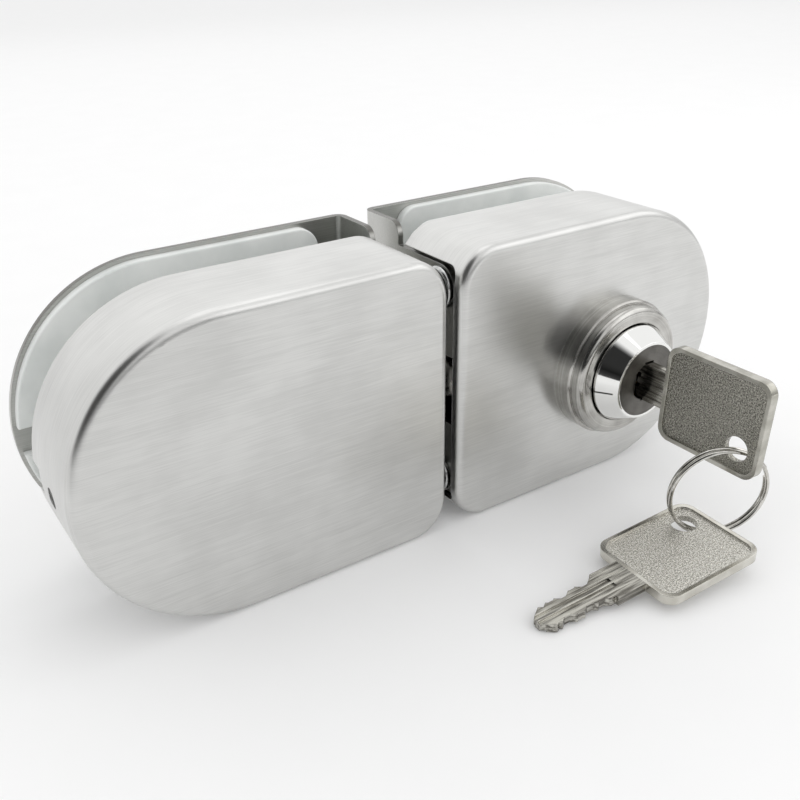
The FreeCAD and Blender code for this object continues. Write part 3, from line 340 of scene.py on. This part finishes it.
def struckNickel(name, look, axes):
    material, tree = startMaterial("struck nickel-plated brass, " + name)
    place = addNode(tree, "ShaderNodeTexCoord", {}).outputs["Object"]
    local = addNode(tree, "ShaderNodeMapping", {
        "vector_type": "TEXTURE", "Vector": place, "Location": axes[0], "Rotation": axes[1]}).outputs[0]
    along = addNode(tree, "ShaderNodeSeparateXYZ", {"Vector": local}).outputs["X"]
    # the sunk field is inside the rim and below its face: the spot's margins to that box are above 0
    halfBow = keyShape["bow"] / 2
    fieldHalf = (
        halfBow - keyShape["rim"], keyShape["bowWidth"] / 2 - keyShape["rim"],
        (keyShape["thickness"] - keyShape["recess"]) / 2)
    centred = addNode(tree, "ShaderNodeVectorMath", {"operation": "SUBTRACT", 0: local, 1: (halfBow, 0, 0)})
    outward = addNode(tree, "ShaderNodeVectorMath", {"operation": "ABSOLUTE", 0: centred.outputs[0]})
    margin = addNode(tree, "ShaderNodeVectorMath", {
        "operation": "SUBTRACT", 0: fieldHalf, 1: outward.outputs[0]})
    margins = addNode(tree, "ShaderNodeSeparateXYZ", {"Vector": margin.outputs[0]}).outputs
    sideways = addNode(tree, "ShaderNodeMath", {"operation": "MINIMUM", 0: margins["X"], 1: margins["Y"]})
    least = addNode(tree, "ShaderNodeMath", {"operation": "MINIMUM", 0: sideways.outputs[0], 1: margins["Z"]})
    onField = addNode(tree, "ShaderNodeMath", {
        "operation": "GREATER_THAN", 0: least.outputs[0], 1: 0.0}).outputs[0]
    onBlade = addNode(tree, "ShaderNodeMath", {"operation": "LESS_THAN", 0: along, 1: 0.0}).outputs[0]

    long, wide = look["mill"]
    struck = grain(tree, local, (look["die"],) * 3, 2.0, look["dieHarshness"])
    milled = grain(tree, local, (long, wide, wide))
    clouds = grain(tree, local, (look["cloud"],) * 3, 3.0)
    rim = twoTone(tree, clouds, look["wornSpan"], look["nickel"], look["worn"])
    field = twoTone(tree, struck, look["pitSpan"], look["pit"], look["field"])
    blade = twoTone(tree, milled, look["lineSpan"], look["bladeLine"], look["blade"])
    plate = addNode(tree, "ShaderNodeMix", {"data_type": "RGBA", 0: onBlade, 6: rim, 7: blade})
    colour = addNode(tree, "ShaderNodeMix", {"data_type": "RGBA", 0: onField, 6: plate.outputs[2], 7: field})
    smooth = addNode(tree, "ShaderNodeMix", {0: onBlade, 2: look["roughness"], 3: look["bladeRoughness"]})
    roughness = addNode(tree, "ShaderNodeMix", {
        0: onField, 2: smooth.outputs[0], 3: look["fieldRoughness"]})
    fieldRelief = addNode(tree, "ShaderNodeMath", {"operation": "MULTIPLY", 0: struck, 1: onField})
    bladeRelief = addNode(tree, "ShaderNodeMath", {"operation": "MULTIPLY", 0: milled, 1: onBlade})
    relief = addNode(tree, "ShaderNodeMath", {
        "operation": "MULTIPLY_ADD", 0: bladeRelief.outputs[0], 1: look["millRelief"],
        2: fieldRelief.outputs[0]})
    closeMaterial(tree, {
        "Metallic": 1.0, "Base Color": colour.outputs[2], "Roughness": roughness.outputs[0],
        "Normal": softEdges(tree, relief.outputs[0], look)})
    return material


# the key in use points out of the plug, with its hole below the plug's axis
plugAxis = Vector(cylinderLook["axis"])
usedHole = Vector((plugAxis.x, joints["ring_swing"]["pos_m"][1], plugAxis.z - keyShape["holeAside"]))
dress(["key"], struckNickel(
    "key in the plug", shadedKeyLook, keyAxes(usedHole, Vector((0, -1, 0)), Vector((0, 0, 1)))))

# the spare key hangs from the ring by its hole, with its tip on the floor
lyingHole = Vector(joints["spare_key_swing"]["pos_m"])
heading = math.radians(keyShape["spareHeading"])
reach = keyShape["bow"] - keyShape["holeFromEnd"] + keyShape["neckAndBlade"]
climb = math.asin((lyingHole.z - keyShape["thickness"] / 2) / reach)
lyingAlong = Vector((
    math.cos(heading) * math.cos(climb), math.sin(heading) * math.cos(climb), math.sin(climb)))
lyingAcross = Vector((math.sin(heading), -math.cos(heading), 0))
dress(["spare_key"], struckNickel("spare key", keyLook, keyAxes(lyingHole, lyingAlong, lyingAcross)))
print("keys finished")


# Small pieces: zinc-plated screws, a nickel-plated ring of spring wire, case-hardened hook and gears, spring
# steel clips and brass wafers. Each is one metal with the faint mottle of its plating or heat treatment.
smallLooks = [
    {"name": "bright zinc plate on steel", "metal": "#C6C7C6", "shade": "#A9AAA9", "roughness": 0.18,
     "mottle": 0.9 * mm, "relief": 0.01 * mm, "edgeRadius": 0.2 * mm, "nodes": [
         "strike_flange_screws", "lock_flange_screws", "strike_grub_screw", "lock_grub_screw", "case_screws",
         "case_posts"]},
    {"name": "bright nickel plate on spring wire", "metal": "#D6D4CF", "shade": "#BDBBB5", "roughness": 0.08,
     "mottle": 1.5 * mm, "relief": 0.004 * mm, "edgeRadius": 0.08 * mm, "nodes": ["split_ring"]},
    {"name": "case-hardened steel", "metal": "#A19F9A", "shade": "#85837E", "roughness": 0.3,
     "mottle": 1.4 * mm, "relief": 0.012 * mm, "edgeRadius": 0.2 * mm, "nodes": [
         "hook_bolt", "hook_pin", "drive_rack", "rack_guide", "drive_pinion"]},
    {"name": "blued spring steel", "metal": "#7C7B78", "shade": "#5E5E60", "roughness": 0.35,
     "mottle": 1.0 * mm, "relief": 0.008 * mm, "edgeRadius": 0.1 * mm, "nodes": [
         "pinion_clip", "wafer_springs"]},
    {"name": "stamped brass", "metal": "#CFAE66", "shade": "#B39350", "roughness": 0.28,
     "mottle": 1.0 * mm, "relief": 0.01 * mm, "edgeRadius": 0.1 * mm, "nodes": ["wafers"]},
]
mottleLook = {"colourSpan": (0.35, 0.6), "roughnessSpan": (0.3, 0.7), "roughnessShares": (0.75, 1.25)}


def mottledMetal(look):
    material, tree = startMaterial(look["name"])
    spot = addNode(tree, "ShaderNodeTexCoord", {}).outputs["Object"]
    mottle = grain(tree, spot, (look["mottle"],) * 3, 3.0)
    low, high = mottleLook["roughnessSpan"]
    smooth, dull = (look["roughness"] * share for share in mottleLook["roughnessShares"])
    roughness = addNode(tree, "ShaderNodeMapRange", {
        "Value": mottle, "From Min": low, "From Max": high, "To Min": smooth, "To Max": dull})
    closeMaterial(tree, {
        "Metallic": 1.0, "Roughness": roughness.outputs[0],
        "Base Color": twoTone(tree, mottle, mottleLook["colourSpan"], look["shade"], look["metal"]),
        "Normal": softEdges(tree, mottle, look)})
    return material


for smallLook in smallLooks:
    dress(smallLook["nodes"], mottledMetal(smallLook))
print("small pieces finished")


# Camera: where the photograph was taken from, found by fitting the model's edges to it.
cameraPlace = {
    "position": (-0.10582, -0.13269, 0.12139), "yaw": 33.28, "pitch": 31.63, "roll": -1.11,
    "focalPixels": 892.1, "frame": 800, "centreRow": 477.7, "sensor": 36, "clip": (0.005, 30),
}


def placeCamera(place):
    data = bpy.data.cameras.new("photo camera")
    camera = bpy.data.objects.new("photo camera", data)
    bpy.context.scene.collection.objects.link(camera)
    yaw, pitch, roll = (math.radians(place[name]) for name in ("yaw", "pitch", "roll"))
    look = Vector((math.sin(yaw) * math.cos(pitch), math.cos(yaw) * math.cos(pitch), -math.sin(pitch)))
    right = Vector((math.cos(yaw), -math.sin(yaw), 0))
    up = right.cross(look)
    rolledRight = right * math.cos(roll) + up * math.sin(roll)
    rolledUp = up * math.cos(roll) - right * math.sin(roll)
    turn = Matrix((rolledRight, rolledUp, -look)).transposed().to_4x4()
    camera.matrix_world = Matrix.Translation(place["position"]) @ turn
    data.sensor_fit = "HORIZONTAL"
    data.sensor_width = place["sensor"]
    data.lens = place["focalPixels"] * data.sensor_width / place["frame"]
    data.shift_y = (place["centreRow"] - place["frame"] / 2) / place["frame"]
    data.clip_start, data.clip_end = place["clip"]
    bpy.context.scene.camera = camera


placeCamera(cameraPlace)
print("camera set")


# Studio: a white paper sweep in a white room, with soft boxes behind, at the right and overhead. What metal
# mirrors of the room is dark low down on the camera's side, and in one round spot at the upper left.
studio = {
    "room": 0.96, "background": 1.0,  # as the lit surfaces see the room, and as the camera does
    "cameraSide": 0.05,  # it fades out between these heights (Z) and depths (Y) of a mirrored direction
    "cameraSideHeights": (0.08, 0.5), "cameraSideDepths": (-0.35, 0.25),
    "darkSpot": (-0.72, -0.32, 0.60), "darkSpotReach": (24, 42), "darkSpotLevel": 0.03,
    "paper": "#F6F6F6", "paperShade": "#F3F3F3", "paperRoughness": 0.75, "paperGloss": 0.15,
    "paperIndex": 1.45, "fibre": 25 * mm, "reach": 6.0, "glow": 1.0, "glowShare": 0.08,
}
softBoxes = [
    {"name": "back soft box", "place": (0.1, 0.95, 0.75), "size": (2.4, 0.9), "brightness": 0.18},
    {"name": "right soft box", "place": (0.55, -0.44, 0.28), "size": (0.9, 0.9), "brightness": 0.6},
    {"name": "overhead soft box", "place": (0.2, 0.2, 0.95), "size": (0.6, 0.6), "brightness": 0.5},
]
lampAim = Vector((0.0, 0.0, 0.03))


def hangSoftBox(box):
    data = bpy.data.lights.new(box["name"], "AREA")
    data.shape = "RECTANGLE"
    data.size, data.size_y = box["size"]
    # polished metal mirrors pi / 4 of the brightness, added to the room behind the lamp
    data.energy = box["brightness"] * math.pi * data.size * data.size_y
    lamp = bpy.data.objects.new(box["name"], data)
    bpy.context.scene.collection.objects.link(lamp)
    lamp.location = box["place"]
    lamp.rotation_euler = (lampAim - Vector(box["place"])).to_track_quat("-Z", "Y").to_euler()


def whiteRoom(look):
    world = bpy.data.worlds.new("white room")
    world.use_nodes = True
    tree = world.node_tree
    tree.nodes.clear()
    way = addNode(tree, "ShaderNodeTexCoord", {}).outputs["Generated"]
    part = addNode(tree, "ShaderNodeSeparateXYZ", {"Vector": way})
    low, high = look["cameraSideHeights"]
    upward = addNode(tree, "ShaderNodeMapRange", {
        "Value": part.outputs["Z"], "From Min": low, "From Max": high, "To Min": look["cameraSide"],
        "To Max": 1.0, "interpolation_type": "SMOOTHSTEP"})
    front, back = look["cameraSideDepths"]
    backward = addNode(tree, "ShaderNodeMapRange", {
        "Value": part.outputs["Y"], "From Min": front, "From Max": back, "interpolation_type": "SMOOTHSTEP"})
    sides = addNode(tree, "ShaderNodeMix", {0: backward.outputs[0], 2: upward.outputs[0], 3: 1.0})
    towardSpot = addNode(tree, "ShaderNodeVectorMath", {
        "operation": "DOT_PRODUCT", 0: way, 1: tuple(Vector(look["darkSpot"]).normalized())})
    near, far = (math.cos(math.radians(angle)) for angle in look["darkSpotReach"])
    offSpot = addNode(tree, "ShaderNodeMapRange", {
        "Value": towardSpot.outputs["Value"], "From Min": far, "From Max": near, "To Min": 1.0,
        "To Max": look["darkSpotLevel"], "interpolation_type": "SMOOTHSTEP"})
    mirrored = addNode(tree, "ShaderNodeMath", {
        "operation": "MULTIPLY", 0: sides.outputs[0], 1: offSpot.outputs[0]})
    ray = addNode(tree, "ShaderNodeLightPath", {})
    plain = addNode(tree, "ShaderNodeMath", {
        "operation": "MAXIMUM", 0: ray.outputs["Is Camera Ray"], 1: ray.outputs["Is Transmission Ray"]})
    level = addNode(tree, "ShaderNodeMix", {0: plain.outputs[0], 2: look["room"], 3: look["background"]})
    seen = addNode(tree, "ShaderNodeMix", {
        0: ray.outputs["Is Glossy Ray"], 2: level.outputs[0], 3: mirrored.outputs[0]})
    light = addNode(tree, "ShaderNodeBackground", {"Color": (1, 1, 1, 1), "Strength": seen.outputs[0]})
    addNode(tree, "ShaderNodeOutputWorld", {"Surface": light.outputs[0]})
    bpy.context.scene.world = world


def layPaper(look):
    reach = look["reach"]
    mesh = bpy.data.meshes.new("paper sweep")
    corners = [(-reach, -reach, 0), (reach, -reach, 0), (reach, reach, 0), (-reach, reach, 0)]
    mesh.from_pydata(corners, [], [(0, 1, 2, 3)])
    paper = bpy.data.objects.new("paper sweep", mesh)
    bpy.context.scene.collection.objects.link(paper)
    material, tree = startMaterial("matt white paper")
    spot = addNode(tree, "ShaderNodeTexCoord", {}).outputs["Object"]
    colour = addNode(tree, "ShaderNodeMix", {
        "data_type": "RGBA", 0: grain(tree, spot, (look["fibre"],) * 3), 6: toLinear(look["paperShade"]),
        7: toLinear(look["paper"])})
    sheet = addNode(tree, "ShaderNodeBsdfPrincipled", {
        "Roughness": look["paperRoughness"], "IOR": look["paperIndex"],
        "Specular IOR Level": look["paperGloss"], "Base Color": colour.outputs[2]})
    # where it is seen straight or mirrored, a small share of it is plain white, so its shadow stays pale
    glow = addNode(tree, "ShaderNodeEmission", {"Strength": look["glow"]})
    ray = addNode(tree, "ShaderNodeLightPath", {})
    straight = addNode(tree, "ShaderNodeMath", {
        "operation": "MAXIMUM", 0: ray.outputs["Is Camera Ray"], 1: ray.outputs["Is Transmission Ray"]})
    seen = addNode(tree, "ShaderNodeMath", {
        "operation": "MAXIMUM", 0: straight.outputs[0], 1: ray.outputs["Is Glossy Ray"]})
    share = addNode(tree, "ShaderNodeMath", {
        "operation": "MULTIPLY", 0: seen.outputs[0], 1: look["glowShare"]})
    surface = addNode(tree, "ShaderNodeMixShader", {
        0: share.outputs[0], 1: sheet.outputs[0], 2: glow.outputs[0]})
    addNode(tree, "ShaderNodeOutputMaterial", {"Surface": surface.outputs[0]})
    mesh.materials.append(material)


whiteRoom(studio)
layPaper(studio)
for softBox in softBoxes:
    hangSoftBox(softBox)
bpy.context.scene.view_settings.view_transform = "Standard"
print("studio set")
